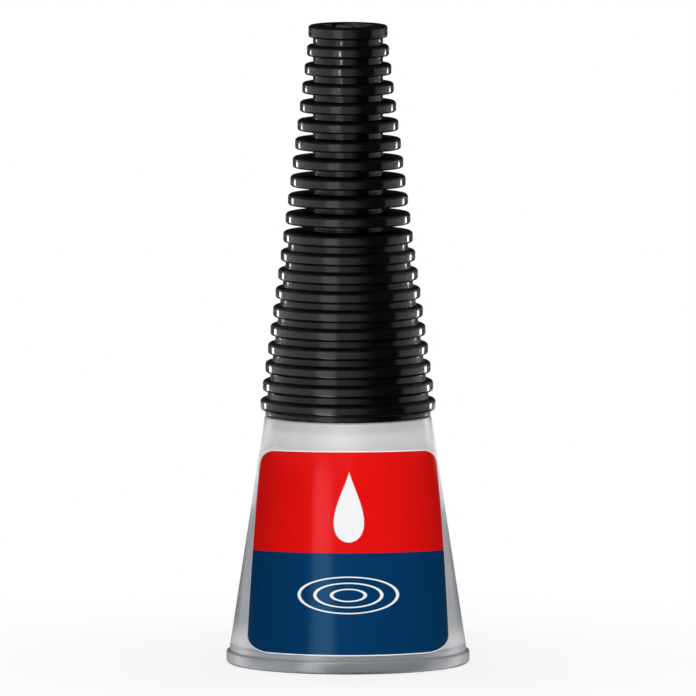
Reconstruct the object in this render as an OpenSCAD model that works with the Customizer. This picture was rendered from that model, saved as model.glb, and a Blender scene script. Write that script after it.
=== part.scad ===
// Squeeze bottle of instant glue with a wide foot and a long ribbed screw cap.
// Millimetres, +Z up, front towards -Y. The origin is the middle of the face that the bottle stands on.

/* [Foot] */
// Diameter of the foot flange
foot_d = 30.4; // [28:0.1:36]
// Step of the flange out from the wall above it
foot_proud = 0.45; // [0.3:0.05:1]
// Height of the foot flange
foot_h = 1.6; // [1.3:0.1:2.6]
// Radius of the flange's rounded edges
foot_round = 0.5; // [0.2:0.05:0.6]
// Width of the ring that touches the table
stand_ring_w = 2.2; // [1:0.1:4]
// Depth of the hollow inside the standing ring
base_hollow = 0.5; // [0.2:0.05:0.9]
// Height of the spigot that plugs into the bottle
spigot_h = 2.6; // [2.4:0.1:5]
// Wall of the spigot
spigot_wall = 1.0; // [0.7:0.1:2]
// Height of the snap bead round the spigot
snap_bead = 0.25; // [0.1:0.05:0.4]

/* [Bottle] */
// Height of the upright part of the wall above the foot
skirt_h = 0.6; // [0.2:0.1:0.8]
// Height of the shoulder above the table
bottle_h = 31; // [28:0.5:40]
// Diameter of the shoulder, and of the cap's mouth that sits flush on it
shoulder_d = 20.8; // [19:0.1:24]
// Radius of the shoulder's edge
shoulder_round = 0.35; // [0.1:0.05:0.6]
// Thickness of the squeeze wall
bottle_wall = 1.1; // [0.7:0.05:1.6]
// Thickness of the shoulder
shoulder_t = 1.3; // [0.9:0.1:2]
// Level of the glue above the base plate
glue_level = 18.5; // [6:0.5:24]

/* [Neck and thread] */
// Height of the threaded neck above the shoulder
neck_h = 7.6; // [6.6:0.1:9]
// Wall of the neck
neck_wall = 1.4; // [1:0.1:2]
// Rise of the thread in one turn
thread_lead = 6; // [5:0.5:8]
// Number of thread starts
thread_starts = 2; // [1:1:2]
// Height of the thread ridge
thread_depth = 0.8; // [0.5:0.05:1]
// Width of the thread ridge at its root
thread_root_w = 1.3; // [0.9:0.05:1.5]
// Width of the thread ridge at its crest
thread_crest_w = 0.7; // [0.4:0.05:0.9]
// Radial play between the cap's thread and the neck's
thread_play = 0.25; // [0.15:0.05:0.4]
// Gap between the bearing flanks of the two threads when the cap is tight
flank_gap = 0.15; // [0.1:0.05:0.3]
// Height on the neck that the thread takes up
thread_h = 5.4; // [4:0.1:6]

/* [Nozzle] */
// Depth of the plug inside the neck
nozzle_plug_h = 4; // [2.5:0.1:6]
// Wall of the plug
nozzle_plug_wall = 1.2; // [0.8:0.1:2]
// Thickness of the flange on the neck's rim
nozzle_flange_t = 1.0; // [0.7:0.1:1.6]
// Step of the flange in from the neck's outer face
nozzle_flange_inset = 0.2; // [0.1:0.05:0.6]
// Diameter of the hub at the flange
nozzle_hub_d = 8.4; // [6:0.1:10]
// Height of the hub
nozzle_hub_h = 3.0; // [2:0.1:4]
// Diameter of the spout above the hub
spout_base_d = 4.0; // [3.4:0.1:4.2]
// Diameter of the spout at its tip
spout_tip_d = 2.3; // [1.9:0.1:2.6]
// Diameter of the outlet
outlet_d = 1.0; // [0.9:0.05:1.2]
// Length of the narrow bore behind the outlet
outlet_len = 15; // [14:0.5:20]
// Diameter of the feed bore below the narrow one
feed_d = 2.0; // [1.4:0.1:2.4]

/* [Seal] */
// Thickness of the loose seal ring in the cap
seal_t = 1.0; // [0.6:0.1:1.6]
// Radial width of the seal ring
seal_w = 2.3; // [1.8:0.1:2.8]
// Radial grip of the beads that hold the seal ring in the cap
seal_grip = 0.45; // [0.3:0.05:0.6]
// Height of the bead above the seal ring
upper_bead_h = 0.8; // [0.5:0.1:1.2]
// Height of the bead under the seal ring
lower_bead_h = 0.6; // [0.4:0.05:0.9]

/* [Cap] */
// Height of the cap from its mouth to its rim
cap_h = 48.9; // [44:0.1:56]
// Gap between the mouth and the shoulder
mouth_gap = 0.1; // [0.05:0.05:0.3]
// Diameter of the skirt's core where it steps in to the tube
step_d = 14.5; // [13.6:0.1:16]
// Diameter of the tube that carries the fins
tube_d = 8.76; // [8:0.02:10]
// Wall of the skirt above the thread
cap_wall = 1.1; // [0.8:0.05:1.4]
// Wall of the tube
tube_wall = 1.2; // [0.9:0.05:1.6]
// Thickness of the roof where the skirt steps in
roof_t = 1.1; // [0.8:0.1:2]
// Number of ribs, fins included
rib_count = 20; // [17:1:22]
// Number of deep fins on the tube
fin_count = 10; // [8:1:11]
// Thickness of each rib
rib_t = 1.4; // [1.1:0.05:1.6]
// Radius of each rib's rounded edges
rib_round = 0.5; // [0.2:0.05:0.54]
// Height of the skirt's ribs above its core
rib_proud = 0.75; // [0.6:0.01:1.2]
// Height of the first fin above the tube
first_fin_proud = 0.75; // [0.6:0.05:1.2]
// Drop from the cap's top to the middle of the first fin
first_rib_drop = 3.15; // [2.7:0.05:3.6]
// Rise from the mouth to the middle of the last rib
last_rib_rise = 1.4; // [1:0.05:3]
// Thickness of the rim round the top
rim_t = 1.5; // [0.9:0.05:1.6]
// Height of the rim above the tube's surface
rim_proud = 0.57; // [0.3:0.01:0.8]
// Radius of the rim's rounded edges
rim_round = 0.4; // [0.15:0.05:0.45]
// Wall round the recess in the top
recess_wall = 0.6; // [0.4:0.05:1]
// Depth of the recess in the top
recess_depth = 1.4; // [0.8:0.1:2]
// Thickness of the web under the recess
web_t = 3.0; // [2.4:0.1:4]
// Depth of the seat round the nozzle's tip
seat_h = 3.0; // [2:0.1:5]
// Gap between the nozzle's tip and its seat
tip_gap = 0.3; // [0.2:0.05:0.5]

/* [Anti-clog pin] */
// Diameter of the steel pin
pin_d = 0.7; // [0.5:0.05:0.75]
// Length of the pin inside the nozzle's outlet
pin_reach = 12; // [8:0.5:13.5]
// Length of the pin held by its plug
pin_grip = 2.4; // [1.4:0.1:3]
// Diameter of the plug's shank
plug_d = 2.0; // [1.6:0.1:2.2]
// Diameter of the plug's head in the recess
plug_head_d = 3.1; // [2.6:0.1:3.6]
// Height of the plug's head
plug_head_h = 1.35; // [0.6:0.05:1.4]
// Width of the slot across the plug's head
plug_slot_w = 0.5; // [0.3:0.05:0.7]
// Angle at which the slot came to rest, from the front towards the right
plug_turn = 28; // [0:1:180]

/* [Labels] */
// Width of each label before it is wrapped round the bottle
label_w = 30.2; // [20:0.1:32]
// Height of each label
label_h = 25.6; // [16:0.1:26]
// Corner radius of each label
label_corner = 2.4; // [1:0.1:5]
// Height of the labels' lower edge above the foot
label_rise = 0.7; // [0.7:0.1:3]
// Thickness of each label
label_t = 0.12; // [0.08:0.02:0.2]

/* [Hidden] */

$fn = 96;
arc_steps = 5;            // straight stretches in a quarter round
thread_step_deg = 12;     // turn of one stretch of the thread
thread_sunk = 0.3;        // depth of the thread's root inside its wall
thread_lead_in = 3;       // stretches over which a thread grows to full height
press_gap = 0.01;         // gap of a press fit
seat_gap = 0.02;          // gap between faces that bear on each other
glue_gap = 0.05;          // gap between the glue and the walls round it
seal_play = 0.3;          // play of the seal ring inside the cap
bead_gap = 0.1;           // gap between the seal ring and the bead under it
seat_play = 0.25;         // play of the nozzle's tip inside its seat
mouth_lead_in = 0.5;      // chamfer inside the cap's mouth
edge_chamfer = 0.3;       // chamfer inside the recess and on small edges
snap_half_h = 0.4;        // half the height of the snap bead
snap_drop = 1.0;          // drop from the spigot's top to the middle of the snap bead
label_side_steps = 6;     // straight stretches along a label's side

// Radii and heights of the bottle
foot_r = foot_d / 2;
bottle_bottom_r = foot_r - foot_proud;
shoulder_r = shoulder_d / 2;
cone_z = foot_h + skirt_h;
cone_slope = (bottle_bottom_r - shoulder_r) / (bottle_h - cone_z);
neck_top = bottle_h + neck_h;
spigot_top = foot_h + spigot_h;
snap_z = spigot_top - snap_drop;
glue_top = foot_h + glue_level;

// Heights of the cap
cap_z = bottle_h + mouth_gap;
cap_top = cap_z + cap_h;
rib_pitch = (cap_h - first_rib_drop - last_rib_rise) / (rib_count - 1);
step_rib = fin_count + 1;
step_top = rib_z(step_rib) + rib_t / 2;
roof_z = step_top - roof_t;
recess_z = cap_top - recess_depth;
web_z = recess_z - web_t;
tube_r = tube_d / 2;
core_slope = (shoulder_r - step_d / 2) / (step_top - cap_z);

// Seal stack between the nozzle's flange and the cap
flange_top = neck_top + nozzle_flange_t;
seal_z = flange_top + seat_gap;
seal_top = seal_z + seal_t;
upper_bead_z = seal_top + seat_gap;
cavity_z = upper_bead_z + upper_bead_h;
lower_bead_top = seal_z - bead_gap;
lower_bead_z = lower_bead_top - lower_bead_h;

// The thread's radii come from the wall that the cap has left at the top of its thread
thread_bore_r = core_r(lower_bead_z) - cap_wall;
neck_r = thread_bore_r - thread_play - thread_depth;
neck_bore_r = neck_r - neck_wall;
thread_z = bottle_h + (neck_h - thread_h) / 2 + thread_root_w / 2;
thread_turns = (thread_h - thread_root_w) / thread_lead;
thread_mid_w = (thread_root_w + thread_crest_w) / 2;
cap_thread_drop = thread_mid_w + flank_gap;
cap_thread_z = thread_z - cap_thread_drop;
cap_thread_skip = max(0, (cap_z + mouth_lead_in + thread_root_w / 2 - cap_thread_z) / thread_lead);
seal_r = thread_bore_r - seal_play;

// Nozzle and pin
flange_r = neck_r - nozzle_flange_inset;
hub_top = flange_top + nozzle_hub_h;
tip_z = web_z - tip_gap;
tip_r = spout_tip_d / 2;
seat_r = tip_r + seat_play;
pin_top = web_z + pin_grip;
pin_z = tip_z - pin_reach;

// Lower edge of the labels, and the lean of the wall that they follow
label_z = foot_h + label_rise;
label_lean = atan(cone_slope);

function lerp(a, b, t) = a + (b - a) * t;

// Outer radius of the bottle's wall at a height
function bottle_r(z) = z <= cone_z ? bottle_bottom_r : bottle_bottom_r - cone_slope * (z - cone_z);

// Inner radius of the bottle's wall at a height
function bottle_in_r(z) = bottle_r(z) - bottle_wall;

// Radius of the spigot's outer face at a height
function spigot_r(z) = bottle_in_r(z) - press_gap;

// Radius of the cap's skirt between its ribs at a height
function core_r(z) = shoulder_r - core_slope * (z - cap_z);

// Height of the middle of a rib, counted from the top
function rib_z(k) = cap_top - first_rib_drop - (k - 1) * rib_pitch;

// Outer radius of a rib: the skirt's ribs follow its core, and the fins follow a straight line above them
function rib_r(k) = k >= step_rib
    ? core_r(rib_z(k)) + rib_proud
    : lerp(tube_r + first_fin_proud, core_r(rib_z(step_rib)) + rib_proud, (k - 1) / fin_count);

// Radius at the root of a rib, on its lower or upper side
function rib_root(k, z, upper) = k > step_rib || (k == step_rib && !upper) ? core_r(z) : tube_r;

// Points of a round from one angle to another, about a centre
function arc(x, y, radius, from, to) =
    [for (i = [0 : arc_steps])
        let (a = lerp(from, to, i / arc_steps))
        [x + radius * cos(a), y + radius * sin(a)]];

// Outline of a disc's edge with rounded corners, from its lower face to its upper face
function round_edge(r, low, high, radius) =
    concat(arc(r - radius, low + radius, radius, -90, 0), arc(r - radius, high - radius, radius, 0, 90));

// Outline of one rib from the bottom up
function rib_outline(k) =
    let (low = rib_z(k) - rib_t / 2, high = rib_z(k) + rib_t / 2)
    concat([[rib_root(k, low, false), low]],
           round_edge(rib_r(k), low, high, rib_round),
           [[rib_root(k, high, true), high]]);

// Outline of the snap bead, or of its groove, from the bottom up, on a face that stands off the bottle's wall
function snap_outline(gap) =
    let (low = snap_z - snap_half_h, high = snap_z + snap_half_h)
    [[bottle_in_r(low) - gap, low],
     [bottle_in_r(snap_z) - gap + snap_bead, snap_z],
     [bottle_in_r(high) - gap, high]];

// All the items of a list of lists
function flat(lists) = [for (items = lists) for (item = items) item];

// One helical ridge, as a trapezium swept round the axis; its first turns may be left out.
// From root to crest the ridge goes outwards for a neck and inwards for a cap.
module thread_ridge(root_r, crest_r, start_z, start_deg, skip) {
    sunk_r = root_r + sign(root_r - crest_r) * thread_sunk;
    steps = ceil((thread_turns - skip) * 360 / thread_step_deg);
    function grown(i) = min(1, (min(i, steps - i) + 1) / thread_lead_in);
    function ring(i) = let (
            turn = lerp(skip, thread_turns, i / steps),
            a = start_deg + 360 * turn,
            z = start_z + thread_lead * turn,
            crest = lerp(root_r, crest_r, grown(i)),
            root_half = thread_root_w / 2,
            crest_half = lerp(thread_root_w, thread_crest_w, grown(i)) / 2)
        [for (p = [[sunk_r, -root_half], [crest, -crest_half], [crest, crest_half], [sunk_r, root_half]])
            [p.x * cos(a), p.x * sin(a), z + p.y]];
    sides = [for (i = [0 : steps - 1]) for (j = [0 : 3])
        let (a = 4 * i + j, b = 4 * i + (j + 1) % 4)
        each [[a, a + 4, b], [b, a + 4, b + 4]]];
    last = 4 * steps;
    ends = [[0, 1, 2], [0, 2, 3], [last, last + 2, last + 1], [last, last + 3, last + 2]];
    outward = crest_r > root_r;
    polyhedron(flat([for (i = [0 : steps]) ring(i)]),
               [for (f = concat(sides, ends)) outward ? [f[0], f[2], f[1]] : f]);
}

// Every start of a thread
module thread(root_r, crest_r, start_z, skip = 0) {
    for (s = [0 : thread_starts - 1])
        thread_ridge(root_r, crest_r, start_z, s * 360 / thread_starts, skip);
}

// Translucent squeeze wall, shoulder and threaded neck in one moulding
module bottle_shell() {
    inner_shoulder = bottle_h - shoulder_t;
    groove = snap_outline(0);
    color([0.80, 0.81, 0.83, 0.7])
    union() {
        rotate_extrude()
        polygon(concat(
            [[bottle_in_r(foot_h), foot_h], [bottle_bottom_r, foot_h], [bottle_bottom_r, cone_z]],
            arc(shoulder_r - shoulder_round, bottle_h - shoulder_round, shoulder_round, 0, 90),
            [[neck_r, bottle_h], [neck_r, neck_top - edge_chamfer], [neck_r - edge_chamfer, neck_top],
             [neck_bore_r, neck_top], [neck_bore_r, inner_shoulder],
             [bottle_in_r(inner_shoulder), inner_shoulder],
             groove[2], groove[1], groove[0], [bottle_in_r(cone_z), cone_z]]));
        thread(neck_r, neck_r + thread_depth, thread_z);
    }
}

// Base plate with the foot flange, a standing ring and a spigot that snaps into the bottle
module base_disc() {
    stand_r = foot_r - foot_round - stand_ring_w;
    spigot_in_r = spigot_r(spigot_top) - spigot_wall;
    color([0.58, 0.60, 0.62, 0.8])
    rotate_extrude()
    polygon(concat(
        [[0, base_hollow], [stand_r - base_hollow, base_hollow], [stand_r, 0]],
        round_edge(foot_r, 0, foot_h, foot_round),
        [[spigot_r(foot_h), foot_h], [spigot_r(cone_z), cone_z]],
        snap_outline(press_gap),
        [[spigot_r(spigot_top), spigot_top], [spigot_in_r, spigot_top], [spigot_in_r, foot_h], [0, foot_h]]));
}

// Liquid glue standing in the bottle
module glue_fill() {
    floor_r = spigot_r(spigot_top) - spigot_wall - glue_gap;
    over_spigot = spigot_top + glue_gap;
    color([0.86, 0.88, 0.86, 0.5])
    rotate_extrude()
    polygon([[0, foot_h + glue_gap], [floor_r, foot_h + glue_gap], [floor_r, over_spigot],
             [bottle_in_r(over_spigot) - glue_gap, over_spigot],
             [bottle_in_r(glue_top) - glue_gap, glue_top], [0, glue_top]]);
}

// Long slender spout with a plug that presses into the neck
module nozzle() {
    plug_r = neck_bore_r - press_gap;
    plug_z = neck_top - nozzle_plug_h;
    feed_top = tip_z - outlet_len;
    color([0.93, 0.93, 0.90])
    rotate_extrude()
    polygon([[plug_r - nozzle_plug_wall, plug_z], [plug_r - edge_chamfer, plug_z],
             [plug_r, plug_z + edge_chamfer], [plug_r, neck_top + seat_gap],
             [flange_r, neck_top + seat_gap], [flange_r, flange_top],
             [nozzle_hub_d / 2, flange_top], [spout_base_d / 2, hub_top],
             [tip_r, tip_z - edge_chamfer], [tip_r - edge_chamfer, tip_z],
             [outlet_d / 2, tip_z], [outlet_d / 2, feed_top], [feed_d / 2, feed_top - feed_d],
             [feed_d / 2, flange_top], [plug_r - nozzle_plug_wall, neck_top - nozzle_plug_wall]]);
}

// Loose ring that seals the nozzle's flange and stays in the cap
module seal_ring() {
    in_r = seal_r - seal_w;
    color([0.45, 0.46, 0.48])
    rotate_extrude()
    polygon([[in_r, seal_z], [seal_r - edge_chamfer, seal_z], [seal_r, seal_z + edge_chamfer],
             [seal_r, seal_top - edge_chamfer], [seal_r - edge_chamfer, seal_top], [in_r, seal_top]]);
}

// Black screw cap: a threaded conical skirt with ribs, a finned tube above it and a recessed top
module cap_shell() {
    bead_r = seal_r - seal_grip;
    groove_r = thread_bore_r;
    cavity_r = core_r(cavity_z) - cap_wall;
    roof_r = core_r(roof_z) - cap_wall;
    tube_in_r = tube_r - tube_wall;
    seat_z = web_z - seat_h;
    funnel_z = seat_z - (tube_in_r - seat_r);
    recess_r = tube_r - recess_wall;
    rim_r = tube_r + rim_proud;
    color([0.05, 0.05, 0.055])
    union() {
        rotate_extrude()
        polygon(concat(
            [[thread_bore_r + mouth_lead_in, cap_z], [shoulder_r, cap_z]],
            flat([for (i = [0 : rib_count - 1]) rib_outline(rib_count - i)]),
            [[tube_r, cap_top - rim_t]],
            round_edge(rim_r, cap_top - rim_t, cap_top, rim_round),
            [[recess_r + edge_chamfer, cap_top], [recess_r, cap_top - edge_chamfer], [recess_r, recess_z],
             [plug_d / 2 + press_gap, recess_z], [plug_d / 2 + press_gap, web_z], [seat_r, web_z],
             [seat_r, seat_z], [tube_in_r, funnel_z], [tube_in_r, roof_z], [roof_r, roof_z],
             [cavity_r, cavity_z], [bead_r, cavity_z], [bead_r, upper_bead_z], [groove_r, upper_bead_z],
             [groove_r, lower_bead_top], [bead_r, lower_bead_top], [thread_bore_r, lower_bead_z],
             [thread_bore_r, cap_z + mouth_lead_in]]));
        thread(thread_bore_r, thread_bore_r - thread_depth, cap_thread_z, cap_thread_skip);
    }
}

// Slotted plug that holds the steel pin in the cap's web
module pin_plug() {
    color([0.10, 0.10, 0.11])
    difference() {
        union() {
            translate([0, 0, web_z]) cylinder(d = plug_d, h = web_t + plug_head_h);
            translate([0, 0, recess_z + seat_gap]) cylinder(d = plug_head_d, h = plug_head_h - seat_gap);
        }
        translate([0, 0, web_z - edge_chamfer])
            cylinder(d = pin_d + 2 * press_gap, h = pin_grip + edge_chamfer);
        rotate([0, 0, plug_turn])
        translate([-plug_slot_w / 2, -plug_head_d, recess_z + plug_head_h / 2])
            cube([plug_slot_w, 2 * plug_head_d, plug_head_h]);
    }
}

// Steel pin that keeps the outlet from clogging
module anti_clog_pin() {
    color([0.75, 0.76, 0.78])
    union() {
        translate([0, 0, pin_z + pin_d / 2]) cylinder(d = pin_d, h = pin_top - pin_z - pin_d / 2);
        translate([0, 0, pin_z + pin_d / 2]) sphere(d = pin_d);
    }
}

// Outline of a label seen from the front. A point of the flat label goes to its place on the bottle's wall:
// its height follows the wall's lean, and its distance from the middle is a length of arc.
function wrapped(p) =
    let (z = label_z + p.y * cos(label_lean), r = bottle_r(z))
    [r * sin(p.x / r * 180 / PI), z];

// Flat label: half its outline, from the bottom middle round to the top middle
function label_half() =
    let (w = label_w / 2, c = label_corner)
    concat(arc(w - c, c, c, -90, 0),
           [for (i = [1 : label_side_steps - 1]) [w, lerp(c, label_h - c, i / label_side_steps)]],
           arc(w - c, label_h - c, c, 0, 90));

// Sticker wrapped round the bottle's cone, facing -Y
module label() {
    half = [for (p = label_half()) wrapped(p)];
    outline = concat(half, [for (i = [len(half) - 1 : -1 : 0]) [-half[i].x, half[i].y]]);
    low = label_z - label_t;
    high = label_z + label_h;
    inner = seat_gap;
    outer = seat_gap + label_t;
    intersection() {
        rotate_extrude()
            polygon([[bottle_r(low) + inner, low], [bottle_r(low) + outer, low],
                     [bottle_r(high) + outer, high], [bottle_r(high) + inner, high]]);
        rotate([90, 0, 0]) linear_extrude(height = foot_d) polygon(outline);
    }
}

module front_label() { color([0.83, 0.05, 0.04]) label(); }

module back_label() { color([0.00, 0.10, 0.30]) rotate([0, 0, 180]) label(); }

bottle_shell();
base_disc();
glue_fill();
nozzle();
seal_ring();
cap_shell();
pin_plug();
anti_clog_pin();
front_label();
back_label();
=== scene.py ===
# %% [markdown]
# # A glue bottle with a long ribbed cap
#
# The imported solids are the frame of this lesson. They give every place and every main size, and they
# already move with their bodies. Here each visible solid is turned again as a finer mesh with small
# rounds, and gets the finish of its real material.

# %% Load the frame
import math

import bmesh
import bpy
from mathutils import Matrix, Vector


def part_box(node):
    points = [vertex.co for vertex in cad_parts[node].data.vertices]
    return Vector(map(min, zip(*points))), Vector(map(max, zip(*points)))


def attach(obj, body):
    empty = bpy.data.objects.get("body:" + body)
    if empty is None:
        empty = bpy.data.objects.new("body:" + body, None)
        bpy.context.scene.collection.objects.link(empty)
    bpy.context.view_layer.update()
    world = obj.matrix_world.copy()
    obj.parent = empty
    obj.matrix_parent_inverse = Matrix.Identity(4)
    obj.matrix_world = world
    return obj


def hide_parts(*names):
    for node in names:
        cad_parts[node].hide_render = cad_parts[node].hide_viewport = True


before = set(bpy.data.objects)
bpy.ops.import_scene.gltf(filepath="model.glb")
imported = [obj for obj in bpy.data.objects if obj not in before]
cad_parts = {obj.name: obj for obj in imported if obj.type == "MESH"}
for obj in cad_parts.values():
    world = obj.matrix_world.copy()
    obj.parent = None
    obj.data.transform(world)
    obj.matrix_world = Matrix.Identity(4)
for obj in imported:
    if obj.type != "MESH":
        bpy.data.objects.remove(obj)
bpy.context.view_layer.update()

# %% [markdown]
# ## Sizes
#
# Blender works in metres, but a bottle this small is easier to think about in millimetres. The main
# heights and radii are read from the solids, so a piece always lies where its solid is. The few sizes
# that a box cannot tell, such as a wall or a rib, are named where they are first needed.

# %% Main sizes from the solids
MM = 0.001


def span(node):
    """Lowest height, highest height and largest radius of a solid, in millimetres."""
    low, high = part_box(node)
    return low.z / MM, high.z / MM, high.x / MM


MOUTH_Z, CAP_TOP, _ = span("cap_shell")
FOOT_H, NECK_TOP, SKIRT_R = span("bottle_shell")
BASE_Z, SPIGOT_TOP, FOOT_R = span("base_disc")
GLUE_Z, GLUE_TOP, _ = span("glue_fill")
PLUG_Z, TIP_Z, FLANGE_R = span("nozzle")
SEAL_Z, SEAL_TOP, SEAL_R = span("seal_ring")
WEB_Z, HEAD_TOP, HEAD_R = span("pin_plug")
PIN_Z, PIN_TOP, PIN_R = span("anti_clog_pin")
LABEL_Z, _, _ = span("front_label")
print(f"cap {MOUTH_Z:.2f} to {CAP_TOP:.2f}, neck to {NECK_TOP:.2f}, foot radius {FOOT_R:.2f}")

# %% [markdown]
# ## Turning a piece
#
# Nearly every piece of the bottle is round, so it can be made as a turner makes it: draw half of the
# section and spin it about the axis. A section is a list of corners, each a radius and a height, with
# the fillet that rounds the corner as an optional third number. Rounding the section before the spin
# is cheaper and cleaner than bevelling the finished mesh, because a fillet is then a few points.

# %% Section and spin
TURN_STEPS = 160
FILLET_STEPS = 4


def rounded(corners):
    """The section as a line of points, with an arc at each corner that has a fillet."""
    line = []
    for i, corner in enumerate(corners):
        here = Vector(corner[:2])
        if len(corner) < 3:
            line.append(here)
            continue
        fillet = corner[2]
        back = (Vector(corners[i - 1][:2]) - here).normalized()
        ahead = (Vector(corners[(i + 1) % len(corners)][:2]) - here).normalized()
        half = back.angle(ahead) / 2
        centre = here + (back + ahead).normalized() * fillet / math.sin(half)
        arm = here + back * fillet / math.tan(half) - centre
        sweep = arm.angle_signed(here + ahead * fillet / math.tan(half) - centre)
        for k in range(FILLET_STEPS + 1):
            line.append(centre + Matrix.Rotation(-sweep * k / FILLET_STEPS, 2) @ arm)
    return line


def turned(corners, steps=TURN_STEPS):
    """A bmesh of the section spun once about Z."""
    bm = bmesh.new()
    verts = [bm.verts.new((p.x * MM, 0, p.y * MM)) for p in rounded(corners)]
    edges = []
    for a, b in zip(verts, verts[1:] + verts[:1]):
        if a.co.x > 0 or b.co.x > 0:
            edges.append(bm.edges.new((a, b)))
    bmesh.ops.spin(
        bm,
        geom=verts + edges,
        cent=(0, 0, 0),
        axis=(0, 0, 1),
        angle=2 * math.pi,
        steps=steps,
        use_merge=True,
    )
    return bm


# %% [markdown]
# The spun mesh still has to become an object. Points that fall together at the axis are merged, the
# faces are turned outwards, and the shading is smooth except across sharp edges.

# %% Finished object
SHARP_DEG = 32
MERGE_DIST = 1e-7


def placed(name, data):
    """An object of the scene that shows the data."""
    made = bpy.data.objects.new(name, data)
    bpy.context.scene.collection.objects.link(made)
    return made


def meshed(name, bm):
    """An object with the mesh of a bmesh, which is used up."""
    mesh = bpy.data.meshes.new(name)
    bm.to_mesh(mesh)
    bm.free()
    return placed(name, mesh)


def finished(name, bm, sharp_deg=SHARP_DEG):
    """A smooth object from a bmesh, with closed seams, outward faces and sharp edges."""
    bmesh.ops.remove_doubles(bm, verts=bm.verts, dist=MERGE_DIST)
    bmesh.ops.recalc_face_normals(bm, faces=bm.faces)
    open_edges = sum(not edge.is_manifold for edge in bm.edges)
    piece = meshed(name, bm)
    piece.data.shade_smooth()
    piece.data.set_sharp_from_angle(angle=math.radians(sharp_deg))
    print(f"{name}: {len(piece.data.polygons)} faces, {open_edges} open edges")
    return piece


def turned_piece(name, corners, steps=TURN_STEPS, sharp_deg=SHARP_DEG):
    """A finished object of a section spun about Z."""
    return finished(name, turned(corners, steps), sharp_deg)


# %% [markdown]
# ## Thread
#
# A screw thread is a small trapezium carried round and up at once. The spin operator can do that too:
# its dvec lifts the section a little at each step. The crest of the first and last section is pushed
# in, so that the ridge runs out as a moulded one does. The ridges are spun by themselves and then
# added to the wall, because a spin inside a large mesh is slow.

# %% Thread ridges
THREAD_LEAD = 6.0
THREAD_STARTS = 2
THREAD_TURNS = 0.683
THREAD_DEPTH = 0.8
THREAD_ROOT_W = 1.3
THREAD_CREST_W = 0.7
THREAD_SUNK = 0.3
THREAD_STEPS = 36
RUN_OUT_SHARE = 0.15
CREST_TOLERANCE = 0.01


def add_thread(bm, root_r, crest_r, start_z, skip=0.0):
    """Helical ridges on a wall; a part of the first turn may be skipped."""
    sunk_r = root_r + math.copysign(THREAD_SUNK, root_r - crest_r)
    run_out_r = root_r + (crest_r - root_r) * RUN_OUT_SHARE
    section = [
        (sunk_r, -THREAD_ROOT_W / 2),
        (crest_r, -THREAD_CREST_W / 2),
        (crest_r, THREAD_CREST_W / 2),
        (sunk_r, THREAD_ROOT_W / 2),
    ]
    turns = THREAD_TURNS - skip
    ridges = bmesh.new()
    for start in range(THREAD_STARTS):
        angle = 2 * math.pi * (start / THREAD_STARTS + skip)
        rise = start_z + THREAD_LEAD * skip
        turned_x, turned_y = math.cos(angle) * MM, math.sin(angle) * MM
        verts = [ridges.verts.new((r * turned_x, r * turned_y, (rise + z) * MM)) for r, z in section]
        first = ridges.faces.new(verts)
        last = bmesh.ops.spin(
            ridges,
            geom=[first],
            cent=(0, 0, 0),
            axis=(0, 0, 1),
            dvec=(0, 0, THREAD_LEAD * turns / THREAD_STEPS * MM),
            angle=2 * math.pi * turns,
            steps=THREAD_STEPS,
        )["geom_last"]
        ends = {v for v in verts if v.is_valid}
        ends |= {v for v in last if isinstance(v, bmesh.types.BMVert)}
        for vert in ends:
            if abs(vert.co.xy.length - crest_r * MM) < CREST_TOLERANCE * MM:
                vert.co.xy *= run_out_r / crest_r
    loose = bpy.data.meshes.new("ridges")
    ridges.to_mesh(loose)
    ridges.free()
    bm.from_mesh(loose)
    bpy.data.meshes.remove(loose)


# %% [markdown]
# ## Cap
#
# The cap is one black moulding: ten ribs on a conical skirt, then ten deep fins on a slim tube, and a
# rim round a shallow recess. Its outline follows two straight lines, so each rib's height and radius
# come from its number. The fillet where a rib meets the core is much smaller than the round on its
# edge, which is what draws the thin dark line above and below each rib. A guard point close to each
# round keeps the smooth shading of the round from spreading over the straight beside it.

# %% Ribs and fins
RIB_COUNT = 20
FIN_COUNT = 10
RIB_T = 1.4
RIB_ROUND = 0.4
RIB_LOW_ROUND = 0.3
ROOT_FILLET = 0.12
GUARD = 0.03
ROOT_REACH = 1.5 * ROOT_FILLET + GUARD
FIRST_RIB_DROP = 3.15
LAST_RIB_RISE = 1.4
RIB_PROUD = 0.75
FIRST_FIN_PROUD = 0.75
SHOULDER_R = 10.4
STEP_R = 7.25
TUBE_R = 4.38
RIB_PITCH = (CAP_TOP - MOUTH_Z - FIRST_RIB_DROP - LAST_RIB_RISE) / (RIB_COUNT - 1)


def rib_z(k):
    """Height of the middle of a rib, counted from the top."""
    return CAP_TOP - FIRST_RIB_DROP - (k - 1) * RIB_PITCH


STEP_RIB = FIN_COUNT + 1
STEP_TOP = rib_z(STEP_RIB) + RIB_T / 2
CORE_SLOPE = (SHOULDER_R - STEP_R) / (STEP_TOP - MOUTH_Z)


def core_r(z):
    """Radius of the skirt between its ribs."""
    return SHOULDER_R - CORE_SLOPE * (z - MOUTH_Z)


def core_beside(z, on_skirt):
    """Radius of the core beside a rib, on the conical skirt or on the tube."""
    return core_r(z) if on_skirt else TUBE_R


def rib_r(k):
    """Outer radius of a rib."""
    step_r = core_r(rib_z(STEP_RIB)) + RIB_PROUD
    if k >= STEP_RIB:
        return core_r(rib_z(k)) + RIB_PROUD
    return TUBE_R + FIRST_FIN_PROUD + (step_r - TUBE_R - FIRST_FIN_PROUD) * (k - 1) / FIN_COUNT


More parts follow.
